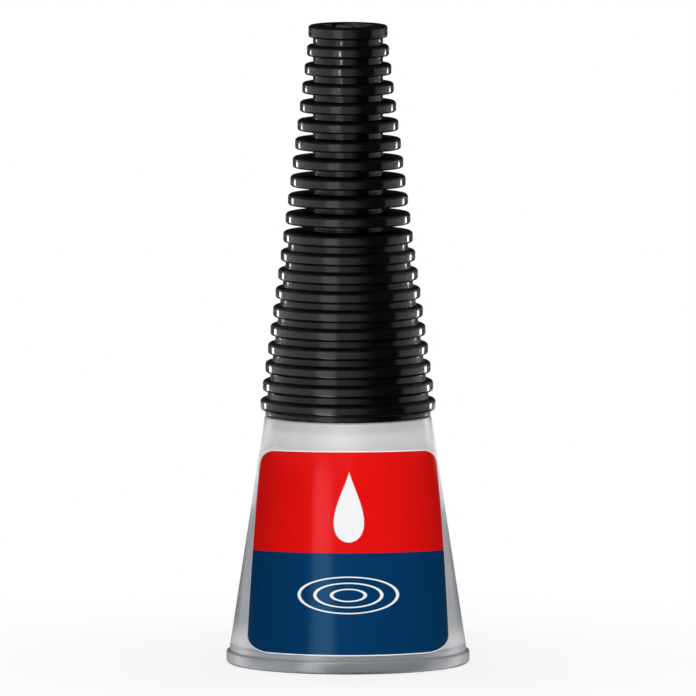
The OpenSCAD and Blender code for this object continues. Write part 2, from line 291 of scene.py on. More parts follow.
def rib_corners(k):
    """Section of one rib from the bottom up."""
    low = rib_z(k) - RIB_T / 2
    high = rib_z(k) + RIB_T / 2
    skirt_below, skirt_above = k >= STEP_RIB, k > STEP_RIB
    return [
        (core_beside(low - ROOT_REACH, skirt_below), low - ROOT_REACH),
        (core_beside(low, skirt_below), low, ROOT_FILLET),
        (rib_r(k), low, RIB_LOW_ROUND),
        (rib_r(k), low + RIB_LOW_ROUND + GUARD),
        (rib_r(k), high - RIB_ROUND - GUARD),
        (rib_r(k), high, RIB_ROUND),
        (core_beside(high, skirt_above), high, ROOT_FILLET),
        (core_beside(high + ROOT_REACH, skirt_above), high + ROOT_REACH),
    ]


print(f"rib pitch {RIB_PITCH:.3f} mm, fins from {rib_r(1):.2f}, ribs to {rib_r(RIB_COUNT):.2f} radius")

# %% [markdown]
# The same section goes on down the inside: the recess, the bore that holds the plug, the seat round
# the nozzle's tip, the tube's bore, the wide cavity, the two beads that keep the seal ring and the
# threaded skirt. It all shows as soon as the cap is lifted and tipped.

# %% Sizes inside the cap
CAP_WALL = 1.1
TUBE_WALL = 1.2
ROOF_T = 1.1
RECESS_WALL = 0.6
WEB_T = 3.0
PLUG_SHANK_R = 1.01
TIP_R = 1.15
TIP_GAP = 0.25
SEAT_H = 3.0
SEAL_GAP = 0.3
SEAL_PLAY = 0.1
TOUCH_GAP = 0.02
BEAD_GRIP = 0.45
UPPER_BEAD_H = 0.8
LOWER_BEAD_H = 0.6
MOUTH_CHAMFER = 0.5
CAP_THREAD_Z = 31.6
CAP_THREAD_SKIP = 0.108
SEAT_R = TIP_R + TIP_GAP
RECESS_Z = WEB_Z + WEB_T
ROOF_Z = STEP_TOP - ROOF_T
BORE_R = SEAL_R + SEAL_GAP
BEAD_R = SEAL_R - BEAD_GRIP
UPPER_BEAD_Z = SEAL_TOP + TOUCH_GAP
CAVITY_Z = UPPER_BEAD_Z + UPPER_BEAD_H
LOWER_BEAD_TOP = SEAL_Z - SEAL_PLAY
LOWER_BEAD_Z = LOWER_BEAD_TOP - LOWER_BEAD_H
TUBE_BORE_R = TUBE_R - TUBE_WALL

# %% [markdown]
# Outside and inside make one closed section. Once it is spun, each vertex notes whether its face
# stands upright, because the finish needs to know that later.

# %% Cap piece
RIM_T = 1.5
RIM_PROUD = 0.57
RIM_ROUND = 0.35
RIM_LOW_ROUND = 0.25
RIM_R = TUBE_R + RIM_PROUD
RIM_Z = CAP_TOP - RIM_T
SMALL_EDGE = 0.12
UPRIGHT_LIMIT = 0.2

cap_outside = [(BORE_R + MOUTH_CHAMFER, MOUTH_Z), (SHOULDER_R, MOUTH_Z, SMALL_EDGE)]
for number in range(RIB_COUNT, 0, -1):
    cap_outside += rib_corners(number)
cap_outside += [
    (TUBE_R, RIM_Z, SMALL_EDGE),
    (RIM_R, RIM_Z, RIM_LOW_ROUND),
    (RIM_R, RIM_Z + RIM_LOW_ROUND + GUARD),
    (RIM_R, CAP_TOP - RIM_ROUND - GUARD),
    (RIM_R, CAP_TOP, RIM_ROUND),
]
cap_inside = [
    (TUBE_R - RECESS_WALL, CAP_TOP, SMALL_EDGE),
    (TUBE_R - RECESS_WALL, RECESS_Z, SMALL_EDGE),
    (PLUG_SHANK_R, RECESS_Z),
    (PLUG_SHANK_R, WEB_Z),
    (SEAT_R, WEB_Z),
    (SEAT_R, WEB_Z - SEAT_H, SMALL_EDGE),
    (TUBE_BORE_R, WEB_Z - SEAT_H - TUBE_BORE_R + SEAT_R, SMALL_EDGE),
    (TUBE_BORE_R, ROOF_Z, SMALL_EDGE),
    (core_r(ROOF_Z) - CAP_WALL, ROOF_Z, SMALL_EDGE),
    (core_r(CAVITY_Z) - CAP_WALL, CAVITY_Z),
    (BEAD_R, CAVITY_Z, SMALL_EDGE),
    (BEAD_R, UPPER_BEAD_Z, SMALL_EDGE),
    (BORE_R, UPPER_BEAD_Z),
    (BORE_R, LOWER_BEAD_TOP),
    (BEAD_R, LOWER_BEAD_TOP, SMALL_EDGE),
    (BORE_R, LOWER_BEAD_Z),
    (BORE_R, MOUTH_Z + MOUTH_CHAMFER),
]
cap_mesh = turned(cap_outside + cap_inside)
cap_mesh.normal_update()
upright = cap_mesh.verts.layers.float.new("upright")
for vert in cap_mesh.verts:
    vert[upright] = float(abs(vert.normal.z) < UPRIGHT_LIMIT)
add_thread(cap_mesh, BORE_R, BORE_R - THREAD_DEPTH, CAP_THREAD_Z, CAP_THREAD_SKIP)
cap = finished("ribbed_cap", cap_mesh)

# %% [markdown]
# ## Bottle
#
# The bottle is one thin translucent moulding: a short upright skirt, a cone, a shoulder with a soft
# edge and a threaded neck. It keeps its real wall, with an inner face, because light goes through it.

# %% Bottle piece
CAP_GAP = 0.1
SHOULDER_ROUND = 0.35
SHOULDER_T = 1.3
SKIRT_H = 0.6
BOTTLE_WALL = 1.1
WALL_ROUND = 0.8
NECK_WALL = 1.4
NECK_FILLET = 0.4
NECK_ROUND = 0.25
NECK_BORE_ROUND = 0.3
NECK_THREAD_Z = 32.75
THREAD_GAP = 0.25
SHOULDER_Z = MOUTH_Z - CAP_GAP
INNER_SHOULDER = SHOULDER_Z - SHOULDER_T
CONE_Z = FOOT_H + SKIRT_H
CONE_SLOPE = (SKIRT_R - SHOULDER_R) / (SHOULDER_Z - CONE_Z)
NECK_R = BORE_R - THREAD_GAP - THREAD_DEPTH
NECK_BORE_R = NECK_R - NECK_WALL


def wall_r(z):
    """Outer radius of the bottle's wall."""
    return SKIRT_R - CONE_SLOPE * max(0, z - CONE_Z)


bottle_mesh = turned(
    [
        (SKIRT_R - BOTTLE_WALL, FOOT_H),
        (SKIRT_R, FOOT_H),
        (SKIRT_R, CONE_Z, WALL_ROUND),
        (SHOULDER_R, SHOULDER_Z, SHOULDER_ROUND),
        (NECK_R, SHOULDER_Z, NECK_FILLET),
        (NECK_R, NECK_TOP, NECK_ROUND),
        (NECK_BORE_R, NECK_TOP, SMALL_EDGE),
        (NECK_BORE_R, INNER_SHOULDER, NECK_BORE_ROUND),
        (wall_r(INNER_SHOULDER) - BOTTLE_WALL, INNER_SHOULDER, WALL_ROUND),
        (SKIRT_R - BOTTLE_WALL, CONE_Z, WALL_ROUND),
    ]
)
add_thread(bottle_mesh, NECK_R, NECK_R + THREAD_DEPTH, NECK_THREAD_Z)
bottle = finished("squeeze_bottle", bottle_mesh)

# %% [markdown]
# ## Base
#
# A separate plate closes the bottle from below. Its flange is a little wider than the wall, and its
# spigot snaps inside. Underneath there is a ring to stand on, a shallow hollow, a raised ring that
# stiffens the plate and the stub where the plastic was injected.

# %% Base piece
FOOT_ROUND = 0.5
FOOT_TOP_ROUND = 0.2
STAND_RING_W = 2.2
BASE_HOLLOW = 0.5
HOLLOW_ROUND = 0.2
SPIGOT_WALL = 1.0
SPIGOT_FILLET = 0.3
PRESS_GAP = 0.01
STIFF_RING_R = 7.5
STIFF_RING_W = 0.8
STIFF_RING_H = 0.2
STIFF_RING_ROUND = 0.08
GATE_R = 0.9
GATE_H = 0.25
GATE_FLARE = 0.15
GATE_ROUND = 0.1
STAND_R = FOOT_R - FOOT_ROUND - STAND_RING_W
SPIGOT_R = SKIRT_R - BOTTLE_WALL - PRESS_GAP
SPIGOT_TOP_R = wall_r(SPIGOT_TOP) - BOTTLE_WALL - PRESS_GAP

base = turned_piece(
    "foot_base",
    [
        (0, BASE_HOLLOW - GATE_H),
        (GATE_R, BASE_HOLLOW - GATE_H, GATE_ROUND),
        (GATE_R + GATE_FLARE, BASE_HOLLOW),
        (STIFF_RING_R, BASE_HOLLOW),
        (STIFF_RING_R, BASE_HOLLOW - STIFF_RING_H, STIFF_RING_ROUND),
        (STIFF_RING_R + STIFF_RING_W, BASE_HOLLOW - STIFF_RING_H, STIFF_RING_ROUND),
        (STIFF_RING_R + STIFF_RING_W, BASE_HOLLOW),
        (STAND_R - BASE_HOLLOW, BASE_HOLLOW, HOLLOW_ROUND),
        (STAND_R, BASE_Z, HOLLOW_ROUND),
        (FOOT_R, BASE_Z, FOOT_ROUND),
        (FOOT_R, FOOT_H, FOOT_TOP_ROUND),
        (SPIGOT_R, FOOT_H),
        (SPIGOT_R, CONE_Z),
        (SPIGOT_TOP_R, SPIGOT_TOP, SMALL_EDGE),
        (SPIGOT_TOP_R - SPIGOT_WALL, SPIGOT_TOP, SMALL_EDGE),
        (SPIGOT_TOP_R - SPIGOT_WALL, FOOT_H, SPIGOT_FILLET),
        (0, FOOT_H),
    ],
)

# %% [markdown]
# ## Glue
#
# The liquid fills the lower part of the cone. Where it meets the wall it climbs a little, so its
# surface is not quite flat: that curved edge is what the eye reads as liquid.

# %% Glue piece
GLUE_GAP = 0.05
GLUE_FLOOR_ROUND = 0.3
GLUE_SHARP_DEG = 60
MENISCUS_H = 0.7
MENISCUS_W = 1.4
MENISCUS_ROUND = 2.5
GLUE_FLOOR_R = SPIGOT_TOP_R - SPIGOT_WALL - GLUE_GAP
OVER_SPIGOT = SPIGOT_TOP + GLUE_GAP


def glue_r(z):
    """Radius of the glue against the wall."""
    return wall_r(z) - BOTTLE_WALL - GLUE_GAP


glue = turned_piece(
    "liquid_glue",
    [
        (0, GLUE_Z),
        (GLUE_FLOOR_R, GLUE_Z, GLUE_FLOOR_ROUND),
        (GLUE_FLOOR_R, OVER_SPIGOT),
        (glue_r(OVER_SPIGOT), OVER_SPIGOT),
        (glue_r(GLUE_TOP), GLUE_TOP),
        (glue_r(GLUE_TOP) - MENISCUS_W, GLUE_TOP - MENISCUS_H, MENISCUS_ROUND),
        (0, GLUE_TOP - MENISCUS_H),
    ],
    sharp_deg=GLUE_SHARP_DEG,
)

# %% [markdown]
# ## Nozzle
#
# Under the cap a long slender spout stands on a plug that is pressed into the neck. The hub flows into
# the spout with a wide fillet, and the outlet at the tip is a real bore.

# %% Nozzle piece
SMALL_TURN_STEPS = 96
HUB_R = 4.2
HUB_H = 3.0
HUB_FILLET = 0.5
SPOUT_R = 2.0
SPOUT_FILLET = 4.0
TIP_ROUND = 0.3
OUTLET_R = 0.5
OUTLET_LEN = 15.0
OUTLET_ROUND = 0.1
FEED_R = 1.0
PLUG_WALL = 1.2
PLUG_ROUND = 0.3
NOZZLE_FLANGE_T = 1.0
FLANGE_ROUND = 0.25
FLANGE_LOW_ROUND = 0.15
NOZZLE_PLUG_R = NECK_BORE_R - PRESS_GAP
FLANGE_Z = NECK_TOP + TOUCH_GAP
FLANGE_TOP = NECK_TOP + NOZZLE_FLANGE_T
NOZZLE_BORE_TOP = TIP_Z - OUTLET_LEN

nozzle = turned_piece(
    "spout_nozzle",
    [
        (NOZZLE_PLUG_R - PLUG_WALL, PLUG_Z),
        (NOZZLE_PLUG_R, PLUG_Z, PLUG_ROUND),
        (NOZZLE_PLUG_R, FLANGE_Z),
        (FLANGE_R, FLANGE_Z, FLANGE_LOW_ROUND),
        (FLANGE_R, FLANGE_TOP, FLANGE_ROUND),
        (HUB_R, FLANGE_TOP, HUB_FILLET),
        (SPOUT_R, FLANGE_TOP + HUB_H, SPOUT_FILLET),
        (TIP_R, TIP_Z, TIP_ROUND),
        (OUTLET_R, TIP_Z, OUTLET_ROUND),
        (OUTLET_R, NOZZLE_BORE_TOP),
        (FEED_R, NOZZLE_BORE_TOP - 2 * FEED_R),
        (FEED_R, FLANGE_TOP),
        (NOZZLE_PLUG_R - PLUG_WALL, NECK_TOP - PLUG_WALL, PLUG_ROUND),
    ],
    steps=SMALL_TURN_STEPS,
)

# %% [markdown]
# ## Seal ring and pin
#
# The small round pieces inside the cap are turned the same way, with fewer steps.

# %% Seal and pin pieces
SEAL_W = 2.3
SEAL_ROUND = 0.3
SEAL_INNER_ROUND = 0.15
PIN_STEPS = 48
PIN_TIP_ROUND = 0.3
PIN_END_ROUND = 0.05

seal = turned_piece(
    "seal_washer",
    [
        (SEAL_R - SEAL_W, SEAL_Z, SEAL_INNER_ROUND),
        (SEAL_R, SEAL_Z, SEAL_ROUND),
        (SEAL_R, SEAL_TOP, SEAL_ROUND),
        (SEAL_R - SEAL_W, SEAL_TOP, SEAL_INNER_ROUND),
    ],
    steps=SMALL_TURN_STEPS,
)
pin = turned_piece(
    "steel_pin",
    [(0, PIN_Z), (PIN_R, PIN_Z, PIN_TIP_ROUND), (PIN_R, PIN_TOP, PIN_END_ROUND), (0, PIN_TOP)],
    steps=PIN_STEPS,
)

# %% [markdown]
# ## Slotted plug
#
# The plug's head has a screwdriver slot. Two parallel cuts with bisect_plane mark the slot on the
# turned mesh, and the faces of the head's top between them are pushed down.

# %% Plug piece
PLUG_STEPS = 64
SHANK_R = 1.0
SHANK_ROUND = 0.1
HEAD_Z = RECESS_Z + TOUCH_GAP
HEAD_H = HEAD_TOP - RECESS_Z
HEAD_ROUND = 0.15
HEAD_EDGE = 0.2
FACING_UP = 0.5
SLOT_W = 0.5
SLOT_TURN_DEG = 28

plug_mesh = turned(
    [
        (PIN_R + PRESS_GAP, WEB_Z),
        (SHANK_R, WEB_Z, SHANK_ROUND),
        (SHANK_R, HEAD_Z),
        (HEAD_R, HEAD_Z),
        (HEAD_R, HEAD_TOP, HEAD_ROUND),
        (0, HEAD_TOP),
        (0, PIN_TOP),
        (PIN_R + PRESS_GAP, PIN_TOP),
    ],
    steps=PLUG_STEPS,
)
bmesh.ops.remove_doubles(plug_mesh, verts=plug_mesh.verts, dist=MERGE_DIST)
slot_across = Matrix.Rotation(math.radians(SLOT_TURN_DEG), 3, "Z") @ Vector((1, 0, 0))
for side in (-1, 1):
    bmesh.ops.bisect_plane(
        plug_mesh,
        geom=plug_mesh.verts[:] + plug_mesh.edges[:] + plug_mesh.faces[:],
        plane_co=slot_across * side * SLOT_W / 2 * MM,
        plane_no=slot_across,
    )
slot_floor = (HEAD_TOP - HEAD_H / 2) * MM
top_faces = []
for face in plug_mesh.faces:
    middle = face.calc_center_median()
    in_slot = abs(middle.dot(slot_across)) < SLOT_W / 2 * MM and middle.z > slot_floor
    on_top = face.normal.z > FACING_UP or middle.z > (HEAD_TOP - HEAD_EDGE) * MM
    if in_slot and on_top:
        top_faces.append(face)
pushed = bmesh.ops.extrude_face_region(plug_mesh, geom=top_faces)["geom"]
bmesh.ops.delete(plug_mesh, geom=top_faces, context="FACES")
for vert in (item for item in pushed if isinstance(item, bmesh.types.BMVert)):
    vert.co.z = slot_floor
plug = finished("slotted_plug", plug_mesh)

# %% [markdown]
# ## Labels
#
# Each label is a flat sticker with rounded corners. Its corners are wider than they are high, so the
# half width at each height is a quarter of an ellipse there. The rows of the grid stand closer in the
# corners. How far a point lies from the outline is needed later for the printed edge.

# %% Outline of the flat sticker
LABEL_W = 30.2
LABEL_H = 25.6
CORNER_H = 2.1
LOW_CORNER_W = 4.6
TOP_CORNER_W = 4.8
LABEL_COLUMNS = 96
LABEL_ROWS = 64
CORNER_ROWS = 12
SLOPE_STEP = 0.01


def row_height(share):
    """Height on the flat sticker of a row of the grid, with more rows in the rounded corners."""
    corner_share = CORNER_ROWS / LABEL_ROWS
    nearer = min(share, 1 - share)
    if nearer < corner_share:
        height = CORNER_H * (1 - math.cos(nearer / corner_share * math.pi / 2))
    else:
        straight_share = (nearer - corner_share) / (1 - 2 * corner_share)
        height = CORNER_H + straight_share * (LABEL_H - 2 * CORNER_H)
    return height if share < 0.5 else LABEL_H - height


def half_width(height):
    """Half the width of the flat sticker at a height."""
    corner_w = LOW_CORNER_W if height < LABEL_H / 2 else TOP_CORNER_W
    inset = max(0, CORNER_H - height, height - LABEL_H + CORNER_H) / CORNER_H
    return LABEL_W / 2 - corner_w * (1 - math.sqrt(max(0, 1 - inset**2)))


def from_edge(across, height):
    """Distance of a point from the outline of the flat sticker."""
    low, high = max(0, height - SLOPE_STEP), min(LABEL_H, height + SLOPE_STEP)
    slope = (half_width(high) - half_width(low)) / (high - low)
    beside = (half_width(height) - abs(across)) / math.hypot(1, slope)
    return min(beside, height, LABEL_H - height)


# %% [markdown]
# The mesh is made as a label is: a grid is first shaped into the flat sticker, where its UV map is
# written, and only then bent round the cone. A distance across the sticker becomes a length of arc, so
# nothing stretches. The upper edge is cut to a low arch, and the machine that put the sticker on left
# it sheared by a hair. A Solidify modifier gives it its thickness, with the second material on its
# back and edge.

# %% Label pieces
TOP_ARCH = 0.0025
LABEL_SHEAR = 0.0065
LABEL_T = 0.12
LABEL_GAP = 0.02
LEAN = math.atan(CONE_SLOPE)


def flat_sticker():
    """A bmesh of the flat sticker in millimetres, with its UV map and distances from the edge."""
    bm = bmesh.new()
    bmesh.ops.create_grid(bm, x_segments=LABEL_COLUMNS, y_segments=LABEL_ROWS, size=0.5)
    for vert in bm.verts:
        height = row_height(vert.co.y + 0.5)
        vert.co.x *= 2 * half_width(height)
        vert.co.y = height
    edge = bm.verts.layers.float.new("edge_mm")
    for vert in bm.verts:
        vert[edge] = from_edge(vert.co.x, vert.co.y)
    uv = bm.loops.layers.uv.new("sticker")
    for face in bm.faces:
        for loop in face.loops:
            loop[uv].uv = (loop.vert.co.x / LABEL_W + 0.5, loop.vert.co.y / LABEL_H)
    return bm


def wrapped_label(name, turn):
    """A sticker on the cone, turned about the axis from the front."""
    bm = flat_sticker()
    for vert in bm.verts:
        arch = TOP_ARCH * math.sqrt(max(0, vert.co.y) / LABEL_H) * vert.co.x**2
        z = LABEL_Z + vert.co.y * math.cos(LEAN) - arch
        angle = (vert.co.x + LABEL_SHEAR * vert.co.y) / wall_r(z) + turn
        radius = wall_r(z) + LABEL_GAP + LABEL_T
        vert.co = Vector((radius * math.sin(angle), -radius * math.cos(angle), z)) * MM
    for face in bm.faces:
        face.normal_update()
        outwards = face.calc_center_median() * Vector((1, 1, 0))
        if face.normal.dot(outwards) < 0:
            face.normal_flip()
        face.smooth = True
    piece = meshed(name, bm)
    thickness = piece.modifiers.new("thickness", "SOLIDIFY")
    thickness.thickness = LABEL_T * MM
    thickness.offset = -1
    thickness.material_offset = 1
    thickness.material_offset_rim = 1
    print(f"{name}: {len(piece.data.polygons)} faces")
    return piece


front_label = wrapped_label("front_sticker", 0)
back_label = wrapped_label("back_sticker", math.pi)

# %% [markdown]
# ## Shader arithmetic
#
# A procedural finish is mostly sums on numbers: distances, masks and mixes. Wrapping a socket in a
# small class lets those sums be written as Python, and each operator adds one Math node.

# %% A socket that can be calculated with
class Signal:
    """A shader value; arithmetic on it adds Math nodes."""

    def __init__(self, graph, socket):
        self.graph = graph
        self.socket = socket

    def math(self, operation, *values):
        """The result of a Math node on some values."""
        return self.graph.node("ShaderNodeMath", {"operation": operation}, dict(enumerate(values)))

    def __add__(self, other):
        return self.math("ADD", self, other)

    def __sub__(self, other):
        return self.math("SUBTRACT", self, other)

    def __rsub__(self, other):
        return self.math("SUBTRACT", other, self)

    def __mul__(self, other):
        return self.math("MULTIPLY", self, other)

    def __truediv__(self, other):
        return self.math("DIVIDE", self, other)

    def __pow__(self, other):
        return self.math("POWER", self, other)

    def __abs__(self):
        return self.math("ABSOLUTE", self)

    __radd__ = __add__
    __rmul__ = __mul__

    def least(self, other):
        return self.math("MINIMUM", self, other)

    def most(self, other):
        return self.math("MAXIMUM", self, other)

    def over(self, edge, soft):
        """A mask that goes from 0 to 1 as the value passes an edge."""
        return self.graph.node(
            "ShaderNodeMapRange",
            {"interpolation_type": "SMOOTHSTEP"},
            {"Value": self, "From Min": edge - soft / 2, "From Max": edge + soft / 2},
        )


# %% [markdown]
# Any other node comes from one method of the tree, which sets the node's settings first and then its
# sockets. A Mix node has a set of sockets for each kind of value, all with the same names, so the ones
# for colours are picked by number.

# %% A node tree
MIX_FACTOR, MIX_BELOW, MIX_ABOVE, MIX_RESULT = 0, 6, 7, 2


class Graph:
    """The node tree of a material or a world, built from nothing."""

    def __init__(self, owner):
        owner.use_nodes = True
        self.tree = owner.node_tree
        self.tree.nodes.clear()

    def node(self, kind, settings=None, sockets=None, output=0):
        """One output of a new node."""
        made = self.tree.nodes.new(kind)
        for key, value in (settings or {}).items():
            if key == "stops":
                self.set_stops(made.color_ramp, value)
            else:
                setattr(made, key, value)
        for key, value in (sockets or {}).items():
            if isinstance(value, Signal):
                self.tree.links.new(value.socket, made.inputs[key])
            else:
                made.inputs[key].default_value = value
        return Signal(self, made.outputs[output])

    @staticmethod
    def set_stops(ramp, stops):
        """Give a colour ramp its stops, each a place and a grey level."""
        while len(ramp.elements) < len(stops):
            ramp.elements.new(1)
        for element, (place, level) in zip(ramp.elements, stops):
            element.position = place
            element.color = (level, level, level, 1)

    def show(self, kind, socket):
        """End the tree with an output node."""
        self.tree.links.new(socket, self.tree.nodes.new(kind).inputs[0])

    def mix(self, mask, below, above):
        """A colour that goes from one to another with a mask."""
        sockets = {MIX_FACTOR: mask, MIX_BELOW: below, MIX_ABOVE: above}
        return self.node("ShaderNodeMix", {"data_type": "RGBA"}, sockets, output=MIX_RESULT)

    def scaled(self, colour, factor):
        """A colour made lighter or darker by a factor."""
        return self.node("ShaderNodeVectorMath", {"operation": "SCALE"}, {0: colour, "Scale": factor})

    def place(self):
        """The three object coordinates of a point as numbers, in millimetres."""
        point = self.node("ShaderNodeTexCoord", output="Object")
        parts = [self.node("ShaderNodeSeparateXYZ", None, {0: point}, output=axis) for axis in "XYZ"]
        return [part * (1 / MM) for part in parts]

    def attribute(self, name):
        """A number that the mesh keeps for each vertex."""
        return self.node("ShaderNodeAttribute", {"attribute_name": name}, output="Fac")

    def noise(self, scale, stretch=(1, 1, 1), detail=3.0, rough=0.55):
        """Noise on object coordinates; scale is in blobs per millimetre."""
        point = self.node("ShaderNodeTexCoord", output="Object")
        factors = [share * scale / MM for share in stretch]
        point = self.node("ShaderNodeMapping", None, {"Vector": point, "Scale": factors})
        sockets = {"Vector": point, "Scale": 1.0, "Detail": detail, "Roughness": rough}
        return self.node("ShaderNodeTexNoise", None, sockets)


# %% [markdown]
# A finish is such a tree with one Principled shader at its end. Values that do not vary are set when
# it is made, and signals are fed in afterwards.

# %% A material
class Finish(Graph):
    """A material with one Principled shader."""

    def __init__(self, name, **constants):
        self.material = bpy.data.materials.new(name)
        super().__init__(self.material)
        self.shader = self.tree.nodes.new("ShaderNodeBsdfPrincipled")
        self.show("ShaderNodeOutputMaterial", self.shader.outputs[0])
        for key, value in constants.items():
            self.shader.inputs[self.socket_name(key)].default_value = value

    def feed(self, **signals):
        """Link signals to the shader's sockets."""
        for key, signal in signals.items():
            self.tree.links.new(signal.socket, self.shader.inputs[self.socket_name(key)])

    @staticmethod
    def socket_name(key):
        """The shader's name for a socket that is written as a Python keyword."""
        return key.replace("_", " ").title().replace("Ior", "IOR")

    def bump(self, height, depth):
        """Relief from a height signal; depth is in millimetres."""
        sockets = {"Height": height, "Distance": depth * MM, "Strength": 1.0}
        self.feed(normal=self.node("ShaderNodeBump", None, sockets))


# %% [markdown]
# ## Cap finish
#
# Black polypropylene is not painted: the colour goes all the way through, and the look comes from its
# gloss. In the mould the upright faces are easy to polish, but the rounds and the floors of the
# grooves stay dull. So the gloss is a coat that lies on the upright faces only. How far a point stands
# above the core tells a rib's face from the core's, which is a little less bright, and scuffs collect
# on the ribs.

# %% Black moulded plastic
CAP_DEEP = (0.0009, 0.0009, 0.001, 1)
CAP_PALE = (0.0018, 0.0018, 0.002, 1)
SCUFF_GREY = (0.03, 0.03, 0.031, 1)
PLUG_DEEP = (0.026, 0.026, 0.027, 1)
PLUG_PALE = (0.042, 0.042, 0.043, 1)
RIB_FACE_AT = 0.45
CORE_COAT = 0.7


def ribbed_black():
    """Black with a gloss coat on the upright faces."""
    finish = Finish("cap_black", specular_ior_level=0.06, coat_roughness=0.08, coat_ior=1.49)
    x, y, z = finish.place()
    radius = (x * x + y * y) ** 0.5
    on_tube = z.over(STEP_TOP, soft=0.02)
    core = core_r(z) * (1 - on_tube) + TUBE_R * on_tube
    on_rib = (radius - core).over(RIB_FACE_AT, soft=0.5)
    grain = finish.noise(9.0, detail=2.0)
    cloud = finish.noise(0.25, detail=4.0)
    scuff = finish.noise(1.6, (1, 1, 0.15), detail=6.0, rough=0.7).over(0.66, soft=0.1) * on_rib
    shade = finish.mix(cloud, CAP_DEEP, CAP_PALE)
    gloss = CORE_COAT + (1 - CORE_COAT) * on_rib
    finish.feed(base_color=finish.mix(scuff * 0.1, shade, SCUFF_GREY))
    finish.feed(coat_weight=finish.attribute("upright") * gloss * (1 - 0.2 * scuff))
    finish.feed(roughness=0.5 + 0.1 * (cloud - 0.5))
    finish.bump(grain, depth=0.006)
    return finish


def dull_black():
    """Black with an even, dull grain."""
    finish = Finish("plug_black", ior=1.49)
    grain = finish.noise(9.0, detail=2.0)
    cloud = finish.noise(0.5, detail=4.0)
    finish.feed(
        base_color=finish.mix(cloud, PLUG_DEEP, PLUG_PALE), roughness=0.45 + 0.15 * (grain - 0.5)
    )
    finish.bump(grain, depth=0.006)
    return finish


cap_black = ribbed_black()
plug_black = dull_black()
print("cap finish:", len(cap_black.tree.nodes), "nodes")

# %% [markdown]
# ## Bottle finish
#
# The bottle is frosted translucent plastic: most light goes through but is scattered on the way, so
# what is inside shows as soft shades. Transmission with a rough surface does that. Its colour is also
# painted by height: pale above the glue, a painted shade where liquid lies behind it, painted light
# where the base's spigot shows through, and darkest along the skirt and the foot, whose top round
# carries a painted highlight. Faint vertical flow marks and a little unevenness keep it from looking
# like a computer's perfect cone. The edge that it stands on is painted darker: a painted contact
# shadow.

# %% Frosted translucent plastic
DRY_WALL = (0.94, 0.94, 0.94, 1)
# painted shade: the wall is darker where glue lies behind it
GLUE_SHADE_WALL = (0.61, 0.638, 0.68, 1)
SKIRT_TONE = (0.472, 0.49, 0.522, 1)
# painted highlight: the flange's top round, and the spigot above it, are a lighter tone than the
# flange's face
LIT_FLANGE_TOP_TONE = (0.335, 0.35, 0.375, 1)
FLANGE_TONE = (0.28, 0.295, 0.32, 1)
# painted contact shadow: the tone darkens along the edge that the base stands on
STANDING_EDGE = 0.25
CONTACT_SHADE_LEVEL = 0.45
GLUE_LINE_Z = GLUE_TOP - 0.4
SPIGOT_LINE_Z = CONE_Z + 0.4
SPIGOT_FADE_Z = SPIGOT_TOP + 0.5
SKIRT_LINE_Z = CONE_Z + 0.3
FLANGE_LINE_Z = FOOT_H - 0.15


def frosted_plastic(name, dry, glue_shade, skirt, skirt_top, transmission):
    """Frost with one tone above the glue, a painted shade beside it, and one below a height."""
    finish = Finish(name, ior=1.49, specular_ior_level=0.9, transmission_weight=transmission)
    _, _, z = finish.place()
    # painted shade over the glue, and painted light that makes the wall pale again where the spigot
    # shows through
    above_glue = z.over(GLUE_LINE_Z, soft=1.2)
    spigot_light_band = z.over(SPIGOT_LINE_Z, soft=0.6) * (1 - z.over(SPIGOT_FADE_Z, soft=3))
    # painted contact shadow along the standing edge
    contact_shade = CONTACT_SHADE_LEVEL + (1 - CONTACT_SHADE_LEVEL) * z.over(STANDING_EDGE, soft=0.4)
    flow = finish.noise(0.5, (1, 1, 0.06), detail=4.0)
    haze = finish.noise(0.18, detail=3.0)
    tone = finish.mix(above_glue.most(spigot_light_band), glue_shade, dry)
    tone = finish.mix(z.over(skirt_top, soft=0.3), skirt, tone)
    finish.feed(base_color=finish.scaled(tone, contact_shade * (0.93 + 0.08 * flow + 0.06 * haze)))
    finish.feed(roughness=0.3 + 0.12 * (haze - 0.5))
    finish.bump(flow, depth=0.012)
    return finish


bottle_frost = frosted_plastic(
    "bottle_frost", DRY_WALL, GLUE_SHADE_WALL, SKIRT_TONE, SKIRT_LINE_Z, transmission=0.5
)
# the lighter tone above the flange's face is a painted highlight on its top round
base_frost = frosted_plastic(
    "base_frost", LIT_FLANGE_TOP_TONE, LIT_FLANGE_TOP_TONE, FLANGE_TONE, FLANGE_LINE_Z, transmission=0.3
)
print("bottle finish:", len(bottle_frost.tree.nodes), "nodes")

# %% [markdown]
# ## Glue, nozzle, seal and pin
#
# The liquid is clear with the faintest tint. The nozzle is natural plastic, milky and soft. The seal
# is a matt elastomer, and the pin is drawn wire, so its fine lines run along it. In each of them colour
# and roughness wander together between two near values.

# %% Finishes of the inner pieces
GLUE_TONES = (0.93, 0.955, 0.94, 1), (0.97, 0.98, 0.965, 1)
NOZZLE_TONES = (0.80, 0.80, 0.77, 1), (0.88, 0.88, 0.86, 1)
SEAL_TONES = (0.14, 0.145, 0.155, 1), (0.19, 0.195, 0.205, 1)
WIRE_TONES = (0.52, 0.53, 0.55, 1), (0.66, 0.67, 0.69, 1)
SWIRL = {"scale": 0.15, "detail": 2.0}
FLOW = {"scale": 0.6, "stretch": (1, 1, 0.1), "detail": 4.0}
SPECKS = {"scale": 4.0, "detail": 4.0}
WIRE_LINES = {"scale": 14.0, "stretch": (1, 1, 0.02), "detail": 3.0}


def two_tone(name, tones, roughness, pattern, **constants):
    """A finish between two tones and two values of roughness, and the noise that mixes them."""
    finish = Finish(name, **constants)
    noise = finish.noise(**pattern)
    least, most = roughness
    finish.feed(base_color=finish.mix(noise, *tones), roughness=least + (most - least) * noise)
    return finish, noise


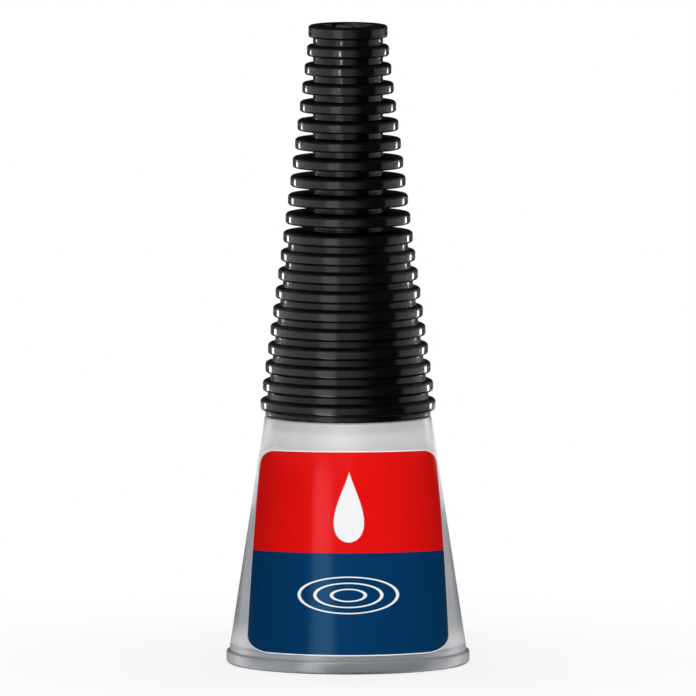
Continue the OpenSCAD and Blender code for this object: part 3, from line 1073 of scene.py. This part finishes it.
glue_clear, _ = two_tone(
    "clear_glue", GLUE_TONES, (0.02, 0.05), SWIRL, ior=1.45, transmission_weight=1.0
)
nozzle_natural, _ = two_tone(
    "nozzle_natural", NOZZLE_TONES, (0.32, 0.44), FLOW, ior=1.51, transmission_weight=0.2
)
nozzle_natural.bump(nozzle_natural.noise(6.0, detail=2.0), depth=0.004)
seal_grey, relief = two_tone("seal_elastomer", SEAL_TONES, (0.52, 0.72), SPECKS, ior=1.45)
seal_grey.bump(relief, depth=0.01)
pin_wire, relief = two_tone("pin_wire", WIRE_TONES, (0.2, 0.36), WIRE_LINES, metallic=1.0)
pin_wire.bump(relief, depth=0.003)
print("pin finish:", len(pin_wire.tree.nodes), "nodes")

# %% [markdown]
# ## Printed labels
#
# All of the print is drawn by distances on the flat sticker, in millimetres, so every line stays sharp
# at any zoom. The front has a plain motif of a falling drop with ripples under it, and the back has
# ruled lines.

# %% Motifs
PRINT_SOFT = 0.05
DROP_LOW = 14.2
DROP_H = 9.0
DROP_W = 3.2
DROP_FULLNESS = 1.75
DROP_POINT = 1.35
RIPPLE_H = 7.6
RIPPLE_FLAT = 0.36
RIPPLE_STEP = 2.1
RIPPLE_COUNT = 3
RIPPLE_LINE = 0.42
RULE_COUNT = 4
RULE_LOW = 3.4
RULE_STEP = 2.2
RULE_LINE = 0.28
RULE_MARGIN = 4


def either(masks):
    """A mask that is 1 where any of the masks is."""
    joined = masks[0]
    for mask in masks[1:]:
        joined = joined.most(mask)
    return joined


def drop_mask(across, up):
    """A drop: round below and drawn out to a point above."""
    share = ((up - DROP_LOW) / DROP_H).most(0).least(1)
    half = (DROP_W * DROP_FULLNESS) * share**0.5 * (1 - share) ** DROP_POINT
    return (half - abs(across)).over(PRINT_SOFT / 2, PRINT_SOFT)


def ripple_mask(across, up):
    """Flat rings, each a step wider than the last."""
    reach = (across**2 + ((up - RIPPLE_H) / RIPPLE_FLAT) ** 2) ** 0.5
    radii = [ring * RIPPLE_STEP for ring in range(1, RIPPLE_COUNT + 1)]
    return either([(RIPPLE_LINE / 2 - abs(reach - r)).over(0, 2 * PRINT_SOFT) for r in radii])


def front_motif(across, up):
    """A drop over its ripples."""
    return drop_mask(across, up).most(ripple_mask(across, up))


def back_motif(across, up):
    """Plain ruled lines."""
    inner = (LABEL_W / 2 - RULE_MARGIN - abs(across)).over(0, PRINT_SOFT)
    heights = [RULE_LOW + RULE_STEP * row for row in range(RULE_COUNT)]
    return either([(RULE_LINE / 2 - abs(up - h)).over(0, PRINT_SOFT) for h in heights]) * inner


# %% [markdown]
# The label is gloss film: a thin white edge, and a red field over a blue one, with painted shade that
# darkens both towards the sides. Uneven ink and a faint rub keep it from looking flat. Its back is
# plain white film.

# %% Label film
EDGE_W = 0.14
SPLIT_H = 12.87
RED = (0.75, 0.004, 0.003, 1)
BLUE = (0.0008, 0.036, 0.118, 1)
WHITE = (0.86, 0.865, 0.87, 1)
EDGE_WHITE = (0.92, 0.95, 1, 1)
PURE_WHITE = (1, 1, 1, 1)
# painted shade for the sides of the label
PAINTED_SIDE_SHADE = (0.76, 0.85, 0.8, 1)
GLOSS_TINT = (0.42, 0.85, 1, 1)
FILM_TONES = (0.78, 0.78, 0.78, 1), (0.86, 0.86, 0.86, 1)
FIBRE = {"scale": 1.5, "detail": 4.0}


def sticker_place(finish):
    """Distances on the flat sticker: from its middle line, and from its lower edge."""
    uv = finish.node("ShaderNodeTexCoord", output="UV")
    across = finish.node("ShaderNodeSeparateXYZ", None, {0: uv}, output="X")
    up = finish.node("ShaderNodeSeparateXYZ", None, {0: uv}, output="Y")
    return (across - 0.5) * LABEL_W, up * LABEL_H


def printed_film(name, motif):
    """Gloss film with two fields, a motif and a white edge."""
    finish = Finish(name, ior=1.5, specular_ior_level=0.12, specular_tint=GLOSS_TINT)
    across, up = sticker_place(finish)
    inside = finish.attribute("edge_mm").over(EDGE_W, PRINT_SOFT)
    # painted shade: both fields darken towards the sides of the sticker
    shade = finish.mix((abs(across) / (LABEL_W / 2)) ** 2, PURE_WHITE, PAINTED_SIDE_SHADE)
    field = finish.mix(up.over(SPLIT_H, PRINT_SOFT), BLUE, RED)
    field = finish.node("ShaderNodeVectorMath", {"operation": "MULTIPLY"}, {0: field, 1: shade})
    field = finish.mix(motif(across, up), field, WHITE)
    field = finish.mix(inside, EDGE_WHITE, field)
    ink = finish.noise(2.2, detail=5.0)
    rub = finish.noise(0.8, (1, 1, 0.2), detail=5.0)
    finish.feed(base_color=finish.scaled(field, 0.94 + 0.1 * ink), roughness=0.2 + 0.1 * (rub - 0.5))
    finish.bump(finish.noise(1.2, detail=2.0), depth=0.004)
    return finish


front_print = printed_film("front_print", front_motif)
back_print = printed_film("back_print", back_motif)
label_white, _ = two_tone("label_back", FILM_TONES, (0.5, 0.6), FIBRE, ior=1.5)
print("front print:", len(front_print.tree.nodes), "nodes")

# %% [markdown]
# ## Putting the pieces in the frame
#
# Each piece takes its finish, rides on the body that carries its solid and hides that solid. The
# table also gives the record's material slot of each piece.

# %% Finish, body, solid and slot of each piece
PIECES = [
    (cap, "cap", "cap_shell", "cap_plastic", [cap_black]),
    (plug, "cap", "pin_plug", "plug_plastic", [plug_black]),
    (pin, "cap", "anti_clog_pin", "pin_steel", [pin_wire]),
    (seal, "seal", "seal_ring", "seal_elastomer", [seal_grey]),
    (bottle, "bottle", "bottle_shell", "bottle_plastic", [bottle_frost]),
    (base, "bottle", "base_disc", "base_plastic", [base_frost]),
    (glue, "bottle", "glue_fill", "glue", [glue_clear]),
    (nozzle, "bottle", "nozzle", "nozzle_plastic", [nozzle_natural]),
    (front_label, "bottle", "front_label", "front_print", [front_print, label_white]),
    (back_label, "bottle", "back_label", "back_print", [back_print, label_white]),
]
for piece, body, node, slot, finishes in PIECES:
    for finish in finishes:
        piece.data.materials.append(finish.material)
    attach(piece, body)
    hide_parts(node)
print(len(PIECES), "pieces ride on", sorted({body for _, body, _, _, _ in PIECES}))

# %% [markdown]
# ## Floor
#
# The floor is a wide disc just under the object. It shows white to the camera and through the plastic,
# but only in part near the object, so that the object's own shadow still falls on it.

# %% Floor
FLOOR_R = 8.0
FLOOR_Z = -0.00005
FLOOR_SIDES = 64
FLOOR_GLOW = 0.75
FLOOR_GREY = (0.86, 0.86, 0.86, 1)
SHADOW_REACH = 90
DIRECT_RAYS = ("Is Camera Ray", "Is Glossy Ray", "Is Transmission Ray")


def seen_directly(graph):
    """1 for rays from the camera, from a reflection or through the plastic."""
    return either([graph.node("ShaderNodeLightPath", output=ray) for ray in DIRECT_RAYS])


bm = bmesh.new()
below = Matrix.Translation((0, 0, FLOOR_Z))
bmesh.ops.create_circle(bm, cap_ends=True, segments=FLOOR_SIDES, radius=FLOOR_R, matrix=below)
floor = meshed("floor", bm)
floor.visible_glossy = False

floor_paint = bpy.data.materials.new("floor_white")
paint = Graph(floor_paint)
matt = paint.node("ShaderNodeBsdfDiffuse", None, {"Color": FLOOR_GREY})
glow = paint.node("ShaderNodeEmission", None, {"Color": PURE_WHITE, "Strength": 1.0})
floor_x, floor_y, _ = paint.place()
far = (floor_x * floor_x + floor_y * floor_y) ** 0.5
white_share = FLOOR_GLOW + (1 - FLOOR_GLOW) * far.over(SHADOW_REACH / 2, SHADOW_REACH)
glow_share = seen_directly(paint) * white_share
both = paint.node("ShaderNodeMixShader", None, {0: glow_share, 1: matt, 2: glow})
paint.show("ShaderNodeOutputMaterial", both.socket)
floor.data.materials.append(floor_paint)

# %% [markdown]
# ## World
#
# The world is plain white where it is seen, and a softer ambient dome for diffuse light.

# %% World
AMBIENT = 0.4

world = bpy.data.worlds.new("studio")
bpy.context.scene.world = world
sky = Graph(world)
dome_light = AMBIENT + (1 - AMBIENT) * seen_directly(sky)
dome = sky.node("ShaderNodeBackground", None, {"Color": PURE_WHITE, "Strength": dome_light})
sky.show("ShaderNodeOutputWorld", dome.socket)

# %% [markdown]
# ## Light tent
#
# Black gloss shows only what it reflects, so a product photographer builds its reflections on purpose:
# a dark tent with panels of light in it. Here the tent is a narrow tube round the object that only
# reflections see. Being so near, it can be lit differently at each height.

# %% Tent piece
TENT_R = 0.032
TENT_HALF_H = 0.3
TENT_SIDES = 128

bm = bmesh.new()
bmesh.ops.create_cone(
    bm, cap_ends=False, segments=TENT_SIDES, radius1=TENT_R, radius2=TENT_R, depth=2 * TENT_HALF_H
)
tent = meshed("tent", bm)
tent.visible_camera = False
tent.visible_diffuse = False
tent.visible_transmission = False
tent.visible_volume_scatter = False
tent.visible_shadow = False

# %% [markdown]
# Round the cap there is a broad panel on each side, a dark gap at the right of the camera, a soft strip
# at its left and two thin strips that draw the bright line near each rib's end. A louvre in step with
# the ribs keeps those lines off the core, and one more short strip lights the topmost fins. The panels
# are given by their azimuth in degrees from the camera and their light.

# %% Light round the cap
PANEL_LEVELS = [
    (-180, 0.01), (-160, 0.08), (-132, 0.14), (-124, 0.3), (-114, 0.8), (-94, 0.9),
    (-74, 0.83), (-57, 0.74), (-44, 0.74), (-16, 0.62), (-4, 0.6), (9, 0.5),
    (21, 0.19), (34, 0.03), (62, 0.01), (66, 0.05), (71, 0.5), (81, 0.59),
    (103, 0.72), (114, 0.72), (124, 0.3), (132, 0.14), (160, 0.08), (180, 0.01),
]
CAP_ZONE_Z = 29.5
RIM_ZONE_Z = 74.75
TOP_LINE_Z = 72.5
LOUVRE_STRETCH = 1.008
LOUVRE_OPEN = 0.185
CAP_STRIP_LIGHT = 0.87
RIB_LINE_LIGHT = 14
TOP_LINE_LIGHT = 16

tent_light = bpy.data.materials.new("tent_light")
panels = Graph(tent_light)
tent_x, tent_y, tent_z = panels.place()
azimuth = tent_x.math("ARCTAN2", tent_x, 0 - tent_y) * (180 / math.pi)
from_front = abs(azimuth)
panel = panels.node(
    "ShaderNodeValToRGB",
    {"stops": [((degrees + 180) / 360, level) for degrees, level in PANEL_LEVELS]},
    {0: azimuth / 360 + 0.5},
)


def band(value, low, high, soft):
    """A mask that is 1 between two values."""
    return value.over(low, soft) * (1 - value.over(high, soft))


cap_zone = tent_z.over(CAP_ZONE_Z, soft=3)
below_rim = 1 - tent_z.over(RIM_ZONE_Z, soft=0.3)
cap_strip = band(azimuth, low=-38, high=-15, soft=10)
rib_step = (LOUVRE_STRETCH * tent_z - rib_z(1)) / RIB_PITCH
louvre = 1 - rib_step.math("PINGPONG", rib_step, 0.5).over(LOUVRE_OPEN, soft=0.06)
on_ribs = louvre * tent_z.over(CAP_ZONE_Z, soft=1.5) * below_rim
rib_line = band(from_front, low=119.5, high=125.5, soft=1.5) * on_ribs
top_line = band(azimuth, low=-23, high=-18.5, soft=1.5) * tent_z.over(TOP_LINE_Z, soft=6) * below_rim
cap_light = (panel + CAP_STRIP_LIGHT * cap_strip + RIB_LINE_LIGHT * rib_line) * cap_zone
cap_light = cap_light + TOP_LINE_LIGHT * top_line

# %% [markdown]
# Round the bottle the front is dark, so that the print keeps its colour, apart from one strip at the
# left of the camera. Leaning panels beside the wall and a panel behind it lighten the edges of the
# cone. The foot has panels of its own, because its upright rim mirrors other parts of the tent.

# %% Light round the bottle and its foot
FOOT_ZONE_Z = 3
UPPER_ZONE_Z = 18
STRIP_LEAN = 0.33
PANEL_LEAN = 2.2
LABEL_STRIP_LIGHT = 6
WALL_PANEL_LIGHT = 0.8
UPPER_PANEL_LIGHT = 1.35
FOOT_PANEL_LIGHT = 2
FOOT_EDGE_LIGHT = 0.9
FOOT_SIDE_SHARE = 1.4
FOOT_STRIP_LIGHT = 4

above_foot = tent_z.over(FOOT_ZONE_Z, soft=3)
label_strip = band(azimuth + STRIP_LEAN * tent_z, low=-26, high=-8, soft=8) * above_foot
wall_panel = band(from_front - PANEL_LEAN * tent_z, low=84, high=104, soft=8)
wall_panel = wall_panel * (1 - from_front.over(128, soft=16)) * above_foot
upper_panel = from_front.over(129, soft=8) * tent_z.over(UPPER_ZONE_Z, soft=10)
wall_light = LABEL_STRIP_LIGHT * label_strip + WALL_PANEL_LIGHT * wall_panel
wall_light = wall_light + UPPER_PANEL_LIGHT * upper_panel

foot_panel = band(azimuth, low=-106, high=-44, soft=10) + band(azimuth, low=64, high=106, soft=10)
foot_side = band(from_front, low=88, high=112, soft=8)
foot_edge = band(from_front, low=104, high=134, soft=10) + FOOT_SIDE_SHARE * foot_side
foot_strip = band(azimuth, low=-38, high=-20, soft=8)
foot_light = FOOT_PANEL_LIGHT * foot_panel + FOOT_EDGE_LIGHT * foot_edge
foot_light = (foot_light + FOOT_STRIP_LIGHT * foot_strip) * (1 - above_foot)

light = cap_light + (wall_light + foot_light) * (1 - cap_zone)
shine = panels.node("ShaderNodeEmission", None, {"Color": PURE_WHITE, "Strength": light})
panels.show("ShaderNodeOutputMaterial", shine.socket)
tent.data.materials.append(tent_light)
print("tent light:", len(tent_light.node_tree.nodes), "nodes")

# %% [markdown]
# ## Lamps
#
# Large soft lamps give the diffuse light: a key from the front, a fill from the right and a pair
# behind, so that every side of the object is lit.

# %% Lamps
AIM = Vector((0, 0, 0.03947))


def soft_lamp(name, azimuth_deg, elevation_deg, distance, size, watts):
    """A round lamp that looks at the middle of the object and is not seen itself."""
    lamp = bpy.data.lights.new(name, "AREA")
    lamp.shape = "DISK"
    lamp.size = size
    lamp.energy = watts
    holder = placed(name, lamp)
    a, e = math.radians(azimuth_deg), math.radians(elevation_deg)
    out = Vector((math.sin(a) * math.cos(e), -math.cos(a) * math.cos(e), math.sin(e)))
    holder.location = AIM + out * distance
    holder.rotation_euler = out.to_track_quat("Z", "Y").to_euler()
    holder.visible_camera = False
    holder.visible_glossy = False
    print(f"{name}: {watts} W")


soft_lamp("key_lamp", -4, 22, distance=0.8, size=0.5, watts=3.4)
soft_lamp("fill_lamp", 40, 30, distance=0.8, size=0.6, watts=0.7)
soft_lamp("back_lamp_left", -150, 35, distance=0.9, size=0.6, watts=1.4)
soft_lamp("back_lamp_right", 150, 35, distance=0.9, size=0.6, watts=1.4)

# %% [markdown]
# ## Camera
#
# The camera stands a little above the object and far away with a long lens, which keeps the outline
# almost free of perspective.

# %% Camera
CAMERA_ELEVATION = 5.5
LENS = 1500
SENSOR = 36
FRAME_WIDTH = 0.0870
CLIP_START = 0.01
CLIP_END = 50

camera_data = bpy.data.cameras.new("camera")
camera_data.lens = LENS
camera_data.sensor_width = SENSOR
camera_data.clip_start = CLIP_START
camera_data.clip_end = CLIP_END
camera = placed("camera", camera_data)
tilt = math.radians(CAMERA_ELEVATION)
back = Vector((0, -math.cos(tilt), math.sin(tilt)))
camera.location = AIM + back * FRAME_WIDTH * LENS / SENSOR
camera.rotation_euler = back.to_track_quat("Z", "Y").to_euler()
bpy.context.scene.camera = camera
bpy.context.scene.view_settings.view_transform = "Standard"
print(f"camera {camera.location.length:.2f} m away, {FRAME_WIDTH / MM:.0f} mm in view")
